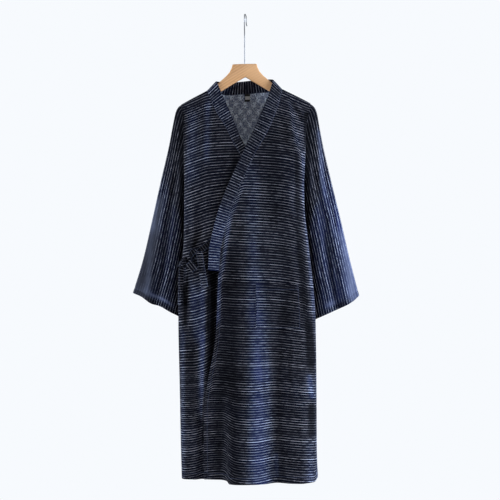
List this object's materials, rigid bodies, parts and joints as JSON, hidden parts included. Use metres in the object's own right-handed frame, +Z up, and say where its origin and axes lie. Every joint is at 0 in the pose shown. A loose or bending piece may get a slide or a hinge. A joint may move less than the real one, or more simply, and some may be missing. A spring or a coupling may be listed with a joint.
{
  "type": "kimono robe on a wooden hanger",
  "caption": "Striped cross-over kimono robe with long sleeves, a patch pocket and a side tie, hanging on a wooden hanger with a wire hook.",
  "frame": {"origin": "inner top of the hook's bend, where it lies on a rail", "axes": "+Z up, against gravity as it hangs; +Y from the front of the robe to its back, through its thin depth; +X to the viewer's right as the front is seen, which is the wearer's left"},
  "size_m": [0.7103, 0.15, 1.4411],
  "materials": {
    "striped_cloth": "woven cotton, matt",
    "collar_cloth": "woven cotton, doubled, matt",
    "beech": "pale wood, satin",
    "bright_wire": "bright",
    "label_cloth": "woven, bare"
  },
  "bodies": {
    "root": {"back": "striped_cloth", "left_front": "striped_cloth", "right_front": "striped_cloth", "left_sleeve": "striped_cloth", "right_sleeve": "striped_cloth", "pocket": "striped_cloth", "collar": "collar_cloth", "tie_strap": "collar_cloth", "tie_tail_right": "collar_cloth", "tie_tail_left": "collar_cloth", "tie_loop_right": "collar_cloth", "tie_side": "collar_cloth", "tie_knot": "collar_cloth", "label": "label_cloth", "hanger": "beech", "hook": "bright_wire"}
  },
  "joints": []
}
